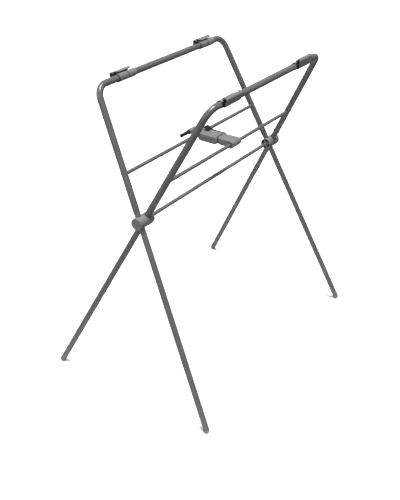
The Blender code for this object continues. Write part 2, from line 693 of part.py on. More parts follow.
def lift_grip(axis):
    """A ribbed finger grip on a stub beside the hook, with its pin in the rear arm."""
    grip_at = Vector((0, 2 * ELBOW_Y + GRIP_Y, GRIP_Z))
    near, collar, arm = -0.0817, -0.0387, BRACE_NEAR - GAP
    profile = [(near, 0.0035), (near + 0.001, 0.0045)]
    ribs = 7
    pitch = (collar - near - 0.003) / ribs
    for rib in range(ribs):
        x = near + 0.001 + rib * pitch
        profile += [(x + 0.55 * pitch, 0.0045), (x + 0.62 * pitch, 0.0037), (x + 0.93 * pitch, 0.0037),
                    (x + pitch, 0.0045)]
    profile += [(collar - 0.001, 0.0045), (collar, 0.0038)]
    grip = lathe_x(profile, 14)
    grip.transform(Matrix.Translation(grip_at))
    bore = cylinder(0.0023, (near + 0.006, *grip_at.yz), (collar + 0.01, *grip_at.yz), 12)
    place(shade(combine(grip, [bore])), "lift_grip", "soft_black", axis)
    stub_profile = [(near + 0.008, 0.0020), (collar + GAP, 0.0020), (collar + GAP, LUG - 0.0012),
                    (collar + 0.0012, LUG), (arm, LUG), (arm, 0.0030), (BRACE_NEAR + 0.010, 0.0030)]
    stub = lathe_x(stub_profile)
    stub.transform(Matrix.Translation(grip_at))
    place(shade(stub), "grip_stub", "moulded_grey", axis)


def build_brace():
    rod = Vector((0, -math.sin(LEAN) * ROD_REACH, HUB_HEIGHT + math.cos(LEAN) * ROD_REACH))
    axis = make_empty("brace_axis", rod)
    front_arm(axis)
    rear_arm(axis)
    elbow_pin(axis)
    release_lever(axis)
    lever_pin(axis)
    lever_spring(axis)
    lift_grip(axis)


clear_scene()
PARTS = make_collection("folding_tub_stand")
CUTTERS = make_collection("cutters")
make_materials()
back_axis = build_frame("back")
front_axis = build_frame("front")
build_hubs(back_axis, front_axis)
build_clips()
build_brace()
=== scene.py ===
"""The visual model of a folding tub stand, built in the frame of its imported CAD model.

Metres, +Z up. The floor is Z = 0 and X runs along the hub axle. The back frame has its top bar at +Y and
its feet at -Y, and the front frame the other way round. "near" is the -X side and "far" the +X side.
Each frame, clip and the brace has its own coordinates, and PLACES holds where they stand.
"""
import math

import bmesh
import bpy
from mathutils import Euler, Matrix, Vector


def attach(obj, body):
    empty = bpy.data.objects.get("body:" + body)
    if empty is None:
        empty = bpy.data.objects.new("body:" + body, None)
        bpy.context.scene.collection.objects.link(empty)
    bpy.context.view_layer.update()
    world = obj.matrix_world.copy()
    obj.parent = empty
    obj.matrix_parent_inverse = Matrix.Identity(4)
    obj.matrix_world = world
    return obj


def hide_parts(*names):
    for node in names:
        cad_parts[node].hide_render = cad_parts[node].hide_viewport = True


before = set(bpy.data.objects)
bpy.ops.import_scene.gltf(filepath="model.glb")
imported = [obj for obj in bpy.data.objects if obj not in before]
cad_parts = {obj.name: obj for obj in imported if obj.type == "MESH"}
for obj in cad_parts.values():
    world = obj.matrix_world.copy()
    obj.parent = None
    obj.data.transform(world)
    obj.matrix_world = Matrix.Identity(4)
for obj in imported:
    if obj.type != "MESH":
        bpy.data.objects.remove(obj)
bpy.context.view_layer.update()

# Frames
HUB_HEIGHT = 0.6080
LEAN = math.radians(26.7)
BAR_REACH = 0.4088
ROD_REACH = 0.1478
SPAN = 0.756
SPAN_MIDDLE = -0.0077
TUBE_PITCH = 0.0245
SPLAY = {"back": 0.1158, "front": 0.1386}
CORNER_RADIUS = 0.043
SIGN = {"back": 1, "front": -1}
SIDE = {"near": -1, "far": 1}

# Tubes and rods, as outer radii
UPPER_TUBE = 0.0101
LEG_TUBE = 0.0093
CROSS_ROD = 0.00575
WELD_WIDTH = 0.0016
WELD_STEPS = 6
AXLE = 0.006
JOURNAL = 0.004
TUBE_JOINT = 0.033
PLUG_DEPTH = 0.060
RIVET_REACH = 0.051
FOOT_CAP = 0.006
FOOT_ROUND = 0.0015

# Hubs, as distances along x from the back frame's tube
HUB_RADIUS = 0.0193
HUB_START = -0.0187
HUB_SPLIT = 0.0119
HUB_END = 0.0480
HUB_EDGE = 0.0004
CAP_THICKNESS = 0.0025
NUT_RADIUS = 0.0055
NUT_THICKNESS = 0.0024
THREAD = 0.0030
POCKET_RADII = (0.0087, 0.0163)
POCKET_ANGLES = (13, 77)
POCKET_DEPTH = 0.0080
BOSS_OFFSET = 0.0030
BOSS_LENGTH = 0.0240
BOSS_HALF_WIDTH = 0.0062
BOSS_RISE = 0.0014
BOSS_TURN = math.radians(172.3)

# Rim clips, in the clip's own coordinates: x along the bar, y outwards, z up
CLIP_MIDDLE = -0.0099
CLIP_SPREAD = 0.21375
CLIP_HALF = 0.048
CLIP_TILT = {"near": math.radians(-17), "far": 0.0}
CLIP_SKIN_END = 0.0345
BUSH_INNER = 0.0103
BUSH_OUTER = 0.0109
SLEEVE_INNER = 0.0112
SLEEVE_OUTER = 0.0123
SLEEVE_START = -0.033
SLEEVE_END = 0.045
CLAMP_END = 0.0095
CLAMP_FROM = 77
CLAMP_TO = 270
HOOK = (0.0078, 0.0148)
HOOK_OUTER = 0.0068
HOOK_INNER = 0.0046
HOOK_TURN = 115
LIP_LENGTH = 0.009
SKIN_RISE = 0.0017
PAD_THICKNESS = 0.0012

# Brace, with y and z from the front cross rod's axis
BRACE_NEAR = -0.0157
BRACE_FAR = 0.0343
ARM_TOP = 0.012
ARM_BOTTOM = -0.0085
REAR_BOTTOM = -0.0115
NOSE = 0.0123
ELBOW = (0.0664, -0.0012)
SHOULDER = 0.0440
LEDGE_END = 0.0520
CHEEK_START = 0.0495
SKIN_START = 0.0558
CHEEK = 0.0045
LEVER = (0.0840, 0.0020)
GRIP = (0.0110, 0.0185)
LUG = 0.0085
GRIP_ENDS = (-0.0817, -0.0387)
GRIP_RADIUS = 0.0054
GRIP_GROOVE = 0.0044
GRIP_RIBS = 9
ELBOW_BORE = 0.0028
LEVER_ROUND = 0.0062
LEVER_THICKNESS = 0.0045

GAP = 0.0003      # between pieces that would touch
MARGIN = 0.01     # how far a cutter runs past what it cuts
MERGE = 0.000005  # points closer than this are one point

FINE = 48     # sides of a tube
ROUND = 64    # sides of a turned piece
HUB_SIDES = 96
PIN_SIDES = 40

PLACES = {name: Matrix.Translation((0, 0, HUB_HEIGHT)) @ Matrix.Rotation(-sign * LEAN, 4, "X")
          for name, sign in SIGN.items()}
PLACES["brace"] = Matrix.Translation(
    (0, -math.sin(LEAN) * ROD_REACH, HUB_HEIGHT + math.cos(LEAN) * ROD_REACH))


# ---------------------------------------------------------------- materials

class Nodes:
    """A material's node tree with short ways to add and join nodes."""

    MIX_INPUTS = (6, 7)  # the colour sockets of a Mix node
    MIX_OUTPUT = 2

    def __init__(self, name):
        self.material = bpy.data.materials.new(name)
        self.material.use_nodes = True
        self.tree = self.material.node_tree
        self.shader = self.tree.nodes["Principled BSDF"]
        self.place = self.add("ShaderNodeTexCoord").outputs["Object"]

    def add(self, kind, **values):
        node = self.tree.nodes.new(kind)
        for key, value in values.items():
            if hasattr(node, key):
                setattr(node, key, value)
            else:
                node.inputs[key.replace("_", " ")].default_value = value
        return node

    def join(self, output, socket):
        self.tree.links.new(output, socket)

    def noise(self, scale, detail=3.0, roughness=0.55, stretch=None):
        node = self.add("ShaderNodeTexNoise", Scale=scale, Detail=detail, Roughness=roughness)
        place = self.place
        if stretch:
            mapping = self.add("ShaderNodeMapping")
            mapping.inputs["Scale"].default_value = stretch
            self.join(place, mapping.inputs["Vector"])
            place = mapping.outputs["Vector"]
        self.join(place, node.inputs["Vector"])
        return node.outputs["Fac"]

    def spread(self, value, low, high, to_low, to_high):
        """The value's range low..high as to_low..to_high."""
        node = self.add("ShaderNodeMapRange")
        for name, number in (("From Min", low), ("From Max", high), ("To Min", to_low), ("To Max", to_high)):
            node.inputs[name].default_value = number
        self.join(value, node.inputs["Value"])
        return node.outputs["Result"]

    def mix(self, factor, first, second):
        """Two colours by a factor; the first may be the output of another mix."""
        node = self.add("ShaderNodeMix", data_type="RGBA")
        self.join(factor, node.inputs["Factor"])
        for index, colour in zip(self.MIX_INPUTS, (first, second)):
            if isinstance(colour, tuple):
                node.inputs[index].default_value = (*colour, 1)
            else:
                self.join(colour, node.inputs[index])
        return node.outputs[self.MIX_OUTPUT]

    def times(self, first, second):
        node = self.add("ShaderNodeMath", operation="MULTIPLY")
        self.join(first, node.inputs[0])
        self.join(second, node.inputs[1])
        return node.outputs[0]

    def bump(self, heights):
        """Bumps laid over each other from (height, strength, distance) triples."""
        normal = None
        for height, strength, distance in heights:
            node = self.add("ShaderNodeBump", Strength=strength, Distance=distance)
            self.join(height, node.inputs["Height"])
            if normal:
                self.join(normal, node.inputs["Normal"])
            normal = node.outputs["Normal"]
        self.join(normal, self.shader.inputs["Normal"])


def scaled(colour, factor):
    """The colour made darker or lighter."""
    return tuple(part * factor for part in colour)


def edge_wear(nodes, low, high, break_up):
    """1 on worn outer edges between two values of pointiness, broken up by noise of that scale."""
    edges = nodes.spread(nodes.add("ShaderNodeNewGeometry").outputs["Pointiness"], low, high, 0, 1)
    patches = nodes.spread(nodes.noise(break_up, 4.0), 0.45, 0.62, 0, 1)
    return nodes.times(edges, patches)


def painted_steel(name, colour, roughness):
    """Powder coat: faint orange peel, slow changes of tone, a few rubbed spots."""
    nodes = Nodes(name)
    tone = nodes.spread(nodes.noise(14, 3.0), 0.35, 0.65, 0, 1)
    base = nodes.mix(tone, scaled(colour, 0.93), scaled(colour, 1.07))
    speck = nodes.spread(nodes.noise(900, 2.0), 0.66, 0.76, 0, 0.25)
    base = nodes.mix(speck, base, scaled(colour, 1.5))
    rub = nodes.spread(nodes.noise(55, 5.0, 0.7), 0.62, 0.75, 0, 0.3)
    base = nodes.mix(rub, base, scaled(colour, 1.25))
    nodes.join(base, nodes.shader.inputs["Base Color"])
    rough = nodes.spread(nodes.noise(120, 4.0), 0.3, 0.7, roughness - 0.04, roughness + 0.05)
    nodes.join(rough, nodes.shader.inputs["Roughness"])
    nodes.bump([(nodes.noise(650, 2.0), 0.35, 0.00006), (nodes.noise(2600, 2.0), 0.15, 0.00003)])
    return nodes.material


def moulded_plastic(name, colour, roughness, grain=2400, specular=0.5):
    """Moulded plastic: spark-eroded grain, faint flow marks, lighter rubbed edges."""
    nodes = Nodes(name)
    tone = nodes.spread(nodes.noise(32, 4.0), 0.35, 0.65, 0, 1)
    base = nodes.mix(tone, scaled(colour, 0.93), scaled(colour, 1.06))
    fleck = nodes.spread(nodes.noise(grain * 0.6, 2.0), 0.6, 0.75, 0, 0.3)
    base = nodes.mix(fleck, base, scaled(colour, 1.25))
    worn = edge_wear(nodes, 0.53, 0.60, 240)
    base = nodes.mix(worn, base, scaled(colour, 1.45))
    nodes.join(base, nodes.shader.inputs["Base Color"])
    nodes.shader.inputs["Specular IOR Level"].default_value = specular
    rough = nodes.spread(nodes.noise(180, 3.0), 0.3, 0.7, roughness - 0.05, roughness + 0.06)
    nodes.join(rough, nodes.shader.inputs["Roughness"])
    nodes.bump([(nodes.noise(grain, 2.0, 0.6), 0.5, 0.00006), (nodes.noise(160, 2.0), 0.2, 0.0001)])
    return nodes.material


def black_rubber(name, colour, roughness):
    """Matt soft plastic: fine pores and a faint bloom."""
    nodes = Nodes(name)
    bloom = nodes.spread(nodes.noise(90, 5.0, 0.65), 0.45, 0.75, 0, 0.8)
    base = nodes.mix(bloom, colour, scaled(colour, 2.2))
    nodes.join(base, nodes.shader.inputs["Base Color"])
    nodes.shader.inputs["Specular IOR Level"].default_value = 0.2
    rough = nodes.spread(nodes.noise(220, 3.0), 0.3, 0.7, roughness - 0.08, roughness + 0.08)
    nodes.join(rough, nodes.shader.inputs["Roughness"])
    nodes.bump([(nodes.noise(3200, 2.0, 0.6), 0.6, 0.00006)])
    return nodes.material


def plated_steel(name, colour, roughness):
    """Zinc plate: fine drawn lines and dull patches."""
    nodes = Nodes(name)
    nodes.shader.inputs["Metallic"].default_value = 1.0
    tone = nodes.spread(nodes.noise(400, 4.0), 0.35, 0.7, 0, 1)
    base = nodes.mix(tone, scaled(colour, 0.8), scaled(colour, 1.15))
    nodes.join(base, nodes.shader.inputs["Base Color"])
    lines = nodes.noise(1500, 3.0, 0.6, (0.15, 1, 1))
    nodes.join(nodes.spread(lines, 0.3, 0.7, roughness - 0.08, roughness + 0.12),
               nodes.shader.inputs["Roughness"])
    nodes.bump([(lines, 0.25, 0.00003)])
    return nodes.material


FINISHES = {
    "tube": (painted_steel("frame_paint", (0.110, 0.110, 0.108), 0.22), "tube_grey"),
    "plastic": (moulded_plastic("moulded_grey_plastic", (0.150, 0.153, 0.139), 0.5), "moulded_grey"),
    # The soft black is real on the grip; on the hook pads, clip bushes and hub pocket sheets it is wholly or
    # partly painted shade.
    "rubber": (black_rubber("black_soft_plastic_and_shade", (0.007, 0.007, 0.007), 0.6), "soft_black"),
    "black": (moulded_plastic("black_hard_plastic", (0.007, 0.007, 0.007), 0.30, specular=0.35),
              "soft_black"),
    "dull_steel": (plated_steel("dulled_rivet", (0.26, 0.26, 0.26), 0.42), "steel"),
    "steel": (plated_steel("plated_steel_pin", (0.72, 0.72, 0.71), 0.22), "steel"),
}


# ---------------------------------------------------------------- mesh helpers

def mesh_from(bm):
    """A mesh whose faces all point outwards."""
    bmesh.ops.recalc_face_normals(bm, faces=bm.faces)
    mesh = bpy.data.meshes.new("shape")
    bm.to_mesh(mesh)
    bm.free()
    return mesh


def evaluated(mesh, build):
    """The mesh after the modifiers that build adds to its object."""
    obj = bpy.data.objects.new("working", mesh)
    bpy.context.scene.collection.objects.link(obj)
    extras = build(obj) or []
    bpy.context.view_layer.update()
    depsgraph = bpy.context.evaluated_depsgraph_get()
    result = bpy.data.meshes.new_from_object(obj.evaluated_get(depsgraph))
    for each in [obj, *extras]:
        bpy.data.objects.remove(each, do_unlink=True)
    bm = bmesh.new()
    bm.from_mesh(result)
    bmesh.ops.remove_doubles(bm, verts=bm.verts, dist=MERGE)
    bmesh.ops.dissolve_degenerate(bm, edges=bm.edges, dist=MERGE)
    bm.to_mesh(result)
    bm.free()
    return result


def combine(mesh, tools, operation="DIFFERENCE"):
    """The mesh after a Boolean with each tool mesh in turn."""
    def build(obj):
        cutters = []
        for tool in tools:
            cutter = bpy.data.objects.new("cutter", tool)
            bpy.context.scene.collection.objects.link(cutter)
            modifier = obj.modifiers.new("cut", "BOOLEAN")
            modifier.operation = operation
            modifier.object = cutter
            cutters.append(cutter)
        return cutters
    return evaluated(mesh, build)


def rounded(mesh, width, segments=3, angle=32):
    """The mesh with its sharp edges rounded."""
    def build(obj):
        bevel = obj.modifiers.new("edges", "BEVEL")
        bevel.width = width
        bevel.segments = segments
        bevel.limit_method = "ANGLE"
        bevel.angle_limit = math.radians(angle)
        bevel.use_clamp_overlap = True
        bevel.miter_outer = "MITER_ARC"
    return evaluated(mesh, build)


def shade(mesh, angle=40):
    """Smooth shading, with edges sharper than the angle left crisp."""
    mesh.shade_smooth()
    mesh.set_sharp_from_angle(angle=math.radians(angle))
    return mesh


def rings_to_mesh(rings, closed=False):
    """Faces between rings of points; the ends are closed unless the rings form a loop."""
    bm = bmesh.new()
    made = [[bm.verts.new(point) for point in ring] for ring in rings]
    sides = len(made[0])
    pairs = list(zip(made, made[1:]))
    if closed:
        pairs.append((made[-1], made[0]))
    for first, second in pairs:
        for i in range(sides):
            j = (i + 1) % sides
            bm.faces.new((first[i], second[i], second[j], first[j]))
    if not closed:
        bm.faces.new(made[0])
        bm.faces.new(reversed(made[-1]))
    return mesh_from(bm)


def circle(radius, sides):
    """Points round the origin."""
    return [(radius * math.cos(2 * math.pi * i / sides), radius * math.sin(2 * math.pi * i / sides))
            for i in range(sides)]


def sweep(points, radii, sides=FINE):
    """A round bar along a line, with a radius for each point."""
    points = [Vector(point) for point in points]
    if not isinstance(radii, (list, tuple)):
        radii = [radii] * len(points)
    along = (points[1] - points[0]).normalized()
    up = along.orthogonal().normalized()
    rings = []
    for i, (point, radius) in enumerate(zip(points, radii)):
        ahead = (points[min(i + 1, len(points) - 1)] - point)
        behind = (point - points[max(i - 1, 0)])
        direction = (ahead.normalized() + behind.normalized()).normalized()
        up = (along.rotation_difference(direction) @ up)
        up = (up - direction * up.dot(direction)).normalized()
        along = direction
        across = direction.cross(up)
        rings.append([point + up * c + across * s for c, s in circle(radius, sides)])
    return rings_to_mesh(rings)


def lathe(profile, sides=ROUND, closed=False):
    """A solid turned about the X axis from (x, radius) pairs along its outer side."""
    return rings_to_mesh([[(x, c, s) for c, s in circle(radius, sides)] for x, radius in profile], closed)


def bar(radius, x_low, x_high, at=(0, 0), sides=FINE):
    """A round bar along X through the point at in the YZ plane."""
    mesh = lathe([(x_low, radius), (x_high, radius)], sides)
    mesh.transform(Matrix.Translation((0, *at)))
    return mesh


def rod(radius, start, end, sides=FINE):
    """A round bar between two points."""
    return sweep([start, end], radius, sides)


def box(low, high):
    """A block between two opposite corners."""
    low, high = Vector(low), Vector(high)
    bm = bmesh.new()
    bmesh.ops.create_cube(bm, size=1, matrix=Matrix.LocRotScale((low + high) / 2, None, high - low))
    return mesh_from(bm)


def extrude(outline, x_low, x_high):
    """A flat outline in the YZ plane, pulled out along X."""
    return rings_to_mesh([[(x, y, z) for y, z in outline] for x in (x_low, x_high)])


def arc(centre, radius, start, end, steps):
    """Points of an arc, by angles in degrees from +Y towards +Z."""
    points = []
    for step in range(steps + 1):
        angle = math.radians(start + (end - start) * step / steps)
        points.append((centre[0] + radius * math.cos(angle), centre[1] + radius * math.sin(angle)))
    return points


def quarter_edge(x, radius, size, way, steps=5):
    """Profile pairs of a rounded rim whose flat end is at x, in the order of rising x."""
    pairs = []
    for step in range(steps + 1):
        angle = math.pi / 2 * step / steps
        pairs.append((x + way * size * (1 - math.sin(angle)), radius - size * (1 - math.cos(angle))))
    return pairs[::-1] if way > 0 else pairs


def piece(name, mesh, body, nodes, finish, place=None):
    """One piece that stands for CAD nodes and rides on their body."""
    material, slot = FINISHES[finish]
    mesh.materials.clear()
    mesh.materials.append(material)
    obj = bpy.data.objects.new(name, mesh)
    bpy.context.scene.collection.objects.link(obj)
    obj.matrix_world = place or Matrix.Identity(4)
    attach(obj, body)
    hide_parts(*nodes)
    return obj


# ---------------------------------------------------------------- frames

def tube_x(name, side):
    """Where a side tube crosses the hub axis."""
    return SPAN_MIDDLE + SIDE[side] * SPAN / 2 - SIGN[name] * TUBE_PITCH / 2


def on_tube(name, side, reach):
    """A point of a side tube's centre line, in the frame's coordinates."""
    return Vector((tube_x(name, side) - SIDE[side] * SPLAY[name] * reach, 0, reach))


def foot_reach(name):
    """Reach of a leg's end: the rim of its cap just touches the floor."""
    tilt = math.acos(math.cos(LEAN) / math.hypot(1, SPLAY[name]))
    flat = LEG_TUBE - FOOT_ROUND
    height = flat * math.sin(tilt) + FOOT_ROUND * (1 - math.cos(tilt))
    return -(HUB_HEIGHT - height) / math.cos(LEAN)


def corner(before, at, after, radius, steps=22):
    """Points of a round bend that replaces a sharp corner."""
    to_before, to_after = (before - at).normalized(), (after - at).normalized()
    half = to_before.angle(to_after) / 2
    centre = at + (to_before + to_after).normalized() * (radius / math.sin(half))
    start = at + to_before * (radius / math.tan(half)) - centre
    end = at + to_after * (radius / math.tan(half)) - centre
    turn = start.angle(end)
    for step in range(steps + 1):
        part = step / steps
        blend = (start * math.sin((1 - part) * turn) + end * math.sin(part * turn)) / math.sin(turn)
        yield centre + blend


def upper_tube(name):
    """The U tube with rolled-in lower rims; the plugged legs show below them."""
    near, far = on_tube(name, "near", BAR_REACH), on_tube(name, "far", BAR_REACH)
    foot_near, foot_far = on_tube(name, "near", TUBE_JOINT), on_tube(name, "far", TUBE_JOINT)
    up_near, up_far = (near - foot_near).normalized(), (far - foot_far).normalized()
    rim = [(0.0, UPPER_TUBE - 0.0007), (0.0002, UPPER_TUBE - 0.0002), (0.0008, UPPER_TUBE)]
    points = [foot_near + up_near * along for along, _ in rim]
    points += [*corner(foot_near, near, far, CORNER_RADIUS), *corner(near, far, foot_far, CORNER_RADIUS)]
    points += [foot_far + up_far * along for along, _ in reversed(rim)]
    rim_radii = [radius for _, radius in rim]
    radii = rim_radii + [UPPER_TUBE] * (len(points) - 2 * len(rim)) + rim_radii[::-1]
    piece(f"{name}_bent_tube", shade(sweep(points, radii)), f"{name}_frame", [f"{name}_upper_tube"], "tube",
          PLACES[name])


def weld_bead(name, side):
    """The narrow fillet where a cross rod meets a side tube."""
    at = on_tube(name, side, ROD_REACH)
    inwards = -SIDE[side]
    core = circle(CROSS_ROD - 0.001, FINE)
    rings = [[at + Vector((inwards * (UPPER_TUBE - 0.003), c, s)) for c, s in core]]
    for step in range(WELD_STEPS + 1):
        angle = math.pi / 2 * step / WELD_STEPS
        radius = CROSS_ROD + WELD_WIDTH * (1 - math.sin(angle)) - 0.00005
        rise = WELD_WIDTH * (1 - math.cos(angle))
        ring = []
        for c, s in circle(radius, FINE):
            surface = math.sqrt(UPPER_TUBE ** 2 - c ** 2) - 0.0001
            ring.append(at + Vector((inwards * (surface + rise) - SIDE[side] * SPLAY[name] * s, c, s)))
        rings.append(ring)
    rings.append([at + Vector((inwards * (UPPER_TUBE + WELD_WIDTH), c, s)) for c, s in core])
    return shade(rings_to_mesh(rings))


def leg(name, side):
    """The straight tube from its plug in the U tube down to the foot's cap."""
    top = on_tube(name, side, TUBE_JOINT + PLUG_DEPTH)
    along = (on_tube(name, side, 0) - top).normalized()
    end = on_tube(name, side, foot_reach(name)) - along * (FOOT_CAP + GAP)
    rim = [end - along * 0.0006, end - along * 0.0001]
    mesh = sweep([top, *rim, end], [LEG_TUBE, LEG_TUBE, LEG_TUBE - 0.0003, LEG_TUBE - 0.0008])
    piece(f"{name}_{side}_leg_tube", shade(mesh), f"{name}_frame", [f"{name}_{side}_leg"], "tube",
          PLACES[name])


def foot(name, side):
    """A plug in the tube's end with a flush cap, a shallow ring on its face and a fine groove."""
    end = on_tube(name, side, foot_reach(name))
    axis = (on_tube(name, side, 0) - end).normalized()
    inside = LEG_TUBE - 0.0013
    profile = [(0.0006, 0.0015), (0.0006, 0.0042), (0.0, 0.0048), (0.0, LEG_TUBE - FOOT_ROUND)]
    profile += quarter_edge(0.0, LEG_TUBE, FOOT_ROUND, 1)[1:]
    profile += [(FOOT_CAP - 0.0004, LEG_TUBE), (FOOT_CAP, LEG_TUBE - 0.0004), (FOOT_CAP + 0.0001, inside),
                (FOOT_CAP + 0.018, inside), (FOOT_CAP + 0.020, inside - 0.001)]
    mesh = lathe(profile)
    mesh.transform(Matrix.Translation(end) @ axis.to_track_quat("X", "Z").to_matrix().to_4x4())
    piece(f"{name}_{side}_foot_cap", shade(mesh), f"{name}_frame", [f"{name}_{side}_foot"], "plastic",
          PLACES[name])


def rivet(name, side):
    """A tubular rivet: domed head with a dimple on one side, rolled rim on the other."""
    at = on_tube(name, side, RIVET_REACH)
    head = UPPER_TUBE + 0.0001
    profile = [(-head - 0.0006, 0.0006), (-head - 0.0007, 0.0012), (-head - 0.0012, 0.0017),
               (-head - 0.0012, 0.0022), (-head - 0.0010, 0.0029), (-head - 0.0006, 0.0034),
               (-head - 0.0001, 0.0036), (-head + 0.0008, 0.0035), (-head + 0.0010, 0.0021),
               (head - 0.0010, 0.0021), (head - 0.0008, 0.0034), (head + 0.0002, 0.0034),
               (head + 0.0008, 0.0030), (head + 0.0011, 0.0024), (head + 0.0010, 0.0018),
               (head + 0.0002, 0.0014), (head + 0.0001, 0.0005)]
    mesh = lathe(profile, PIN_SIDES)
    mesh.transform(Matrix.Translation(at) @ Matrix.Rotation(math.pi / 2, 4, "Z"))
    piece(f"{name}_{side}_tube_rivet", shade(mesh), f"{name}_frame", [f"{name}_{side}_rivet"], "dull_steel",
          PLACES[name])


def cross_rod(name):
    """The thin tube between the side tubes and its two welds."""
    depth = UPPER_TUBE - 0.0035
    ends = [on_tube(name, side, ROD_REACH) - Vector((SIDE[side] * depth, 0, 0)) for side in SIDE]
    piece(f"{name}_cross_tube", shade(rod(CROSS_ROD, *ends)), f"{name}_frame", [f"{name}_cross_rod"], "tube",
          PLACES[name])
    for side in SIDE:
        piece(f"{name}_{side}_weld", weld_bead(name, side), f"{name}_frame", [f"{name}_cross_rod"], "tube",
              PLACES[name])


def build_frame(name):
    upper_tube(name)
    cross_rod(name)
    for side in SIDE:
        leg(name, side)
        foot(name, side)
        rivet(name, side)


# ---------------------------------------------------------------- hubs

def tube_bore(name, side, clearance):
    """The room that a side tube takes in its hub."""
    return rod(LEG_TUBE + clearance, on_tube(name, side, -0.05), on_tube(name, side, 0.05))


def pockets(x_low, x_high):
    """Four moulded pockets round the axle in the open face of a hub."""
    (inner, outer), (low, high) = POCKET_RADII, POCKET_ANGLES
    outline = arc((0, 0), outer, low, high, 10) + arc((0, 0), inner, high, low, 8)
    for quarter in range(4):
        mesh = extrude(outline, x_low, x_high)
        mesh.transform(Matrix.Rotation(quarter * math.pi / 2, 4, "X"))
        yield mesh


def back_housing(side):
    """The hub half that grips the back frame's tube."""
    base = tube_x("back", side)
    start = base + HUB_START + (CAP_THICKNESS + GAP if side == "near" else 0)
    end = base + HUB_SPLIT
    profile = [*quarter_edge(start, HUB_RADIUS, 0.0012, 1), (end - HUB_EDGE, HUB_RADIUS),
               (end, HUB_RADIUS - HUB_EDGE)]
    cuts = [tube_bore("back", side, GAP), bar(JOURNAL + GAP, start - MARGIN, end + MARGIN)]
    if side == "near":
        cuts.append(bar(NUT_RADIUS + 0.0008, start - MARGIN, base - LEG_TUBE))
    else:
        cuts.append(bar(AXLE + GAP, start - MARGIN, base - LEG_TUBE))
        cuts.extend(pockets(start - 0.001, start + POCKET_DEPTH))
    mesh = shade(rounded(combine(lathe(profile, HUB_SIDES), cuts), HUB_EDGE, 2, 50))
    piece(f"{side}_back_hub", mesh, "back_frame", [f"{side}_hub_back_housing"], "plastic", PLACES["back"])
    if side == "far":
        # Thin black sheets at the bottoms of the far hub's pockets: painted shade that darkens the recesses.
        pocket_shade_sheets = pockets(start + POCKET_DEPTH - 0.0006, start + POCKET_DEPTH - 0.0003)
        for number, floor in enumerate(pocket_shade_sheets, 1):
            piece(f"far_hub_pocket_{number}", floor, "back_frame", ["far_hub_back_housing"], "rubber",
                  PLACES["back"])


def thumb_boss(start):
    """A raised rounded pad along one side of a front housing."""
    half = BOSS_HALF_WIDTH
    low, high = start + BOSS_OFFSET, start + BOSS_OFFSET + BOSS_LENGTH
    turns = [math.pi * i / 16 for i in range(17)]
    outline = [(low + half - half * math.sin(turn), -half * math.cos(turn)) for turn in turns]
    outline += [(high - half + half * math.sin(turn), half * math.cos(turn)) for turn in turns]
    prism = rings_to_mesh([[(x, depth, z) for x, z in outline] for depth in (0.006, 0.03)])
    prism.transform(Matrix.Rotation(BOSS_TURN, 4, "X"))
    skin = bar(HUB_RADIUS + BOSS_RISE, low - MARGIN, high + MARGIN, sides=HUB_SIDES)
    return combine(skin, [prism], "INTERSECT")


def front_housing(side):
    """The hub half that grips the front frame's tube and turns on the axle."""
    base = tube_x("back", side)
    start, end = base + HUB_SPLIT + GAP, base + HUB_END
    stop = tube_x("front", side) + LEG_TUBE + 0.001
    if side == "far":
        end -= CAP_THICKNESS + GAP
    profile = [(start, HUB_RADIUS - HUB_EDGE), (start + HUB_EDGE, HUB_RADIUS),
               *quarter_edge(end, HUB_RADIUS, 0.0025, -1)]
    pocket = AXLE if side == "near" else NUT_RADIUS + 0.0015
    shift = Vector((-0.0016, 0, 0))
    slot = rod(LEG_TUBE, on_tube("front", side, 0.009) + shift, on_tube("front", side, 0.05) + shift)
    cuts = [tube_bore("front", side, 0.0006), slot, bar(JOURNAL + GAP, start - MARGIN, end + MARGIN),
            bar(pocket + GAP, stop, end + MARGIN)]
    solid = combine(lathe(profile, HUB_SIDES), [thumb_boss(start)], "UNION")
    mesh = shade(rounded(combine(solid, cuts), HUB_EDGE, 2, 50))
    piece(f"{side}_front_hub", mesh, "front_frame", [f"{side}_hub_front_housing"], "plastic",
          PLACES["front"])


def hub_cap(side, body, place):
    """A round cover over the nut, with a shallow dish and concentric steps."""
    base = tube_x("back", side)
    outside = base + (HUB_START if side == "near" else HUB_END)
    inwards = 1 if side == "near" else -1
    profile = [(0.0009, 0.0015), (0.0008, 0.0052), (0.0003, 0.0058), (0.0003, 0.0064), (0.0007, 0.0068),
               (0.0006, 0.0132), (0.0002, 0.0138), (0.0, 0.0144)]
    profile += quarter_edge(0.0, HUB_RADIUS, 0.0015, 1)
    profile += [(CAP_THICKNESS - 0.0003, HUB_RADIUS), (CAP_THICKNESS, HUB_RADIUS - 0.0003)]
    mesh = lathe([(outside + inwards * depth, radius) for depth, radius in profile], HUB_SIDES)
    piece(f"{side}_hub_cover", shade(mesh, 35), body, [f"{side}_hub_cap"], "plastic", place)


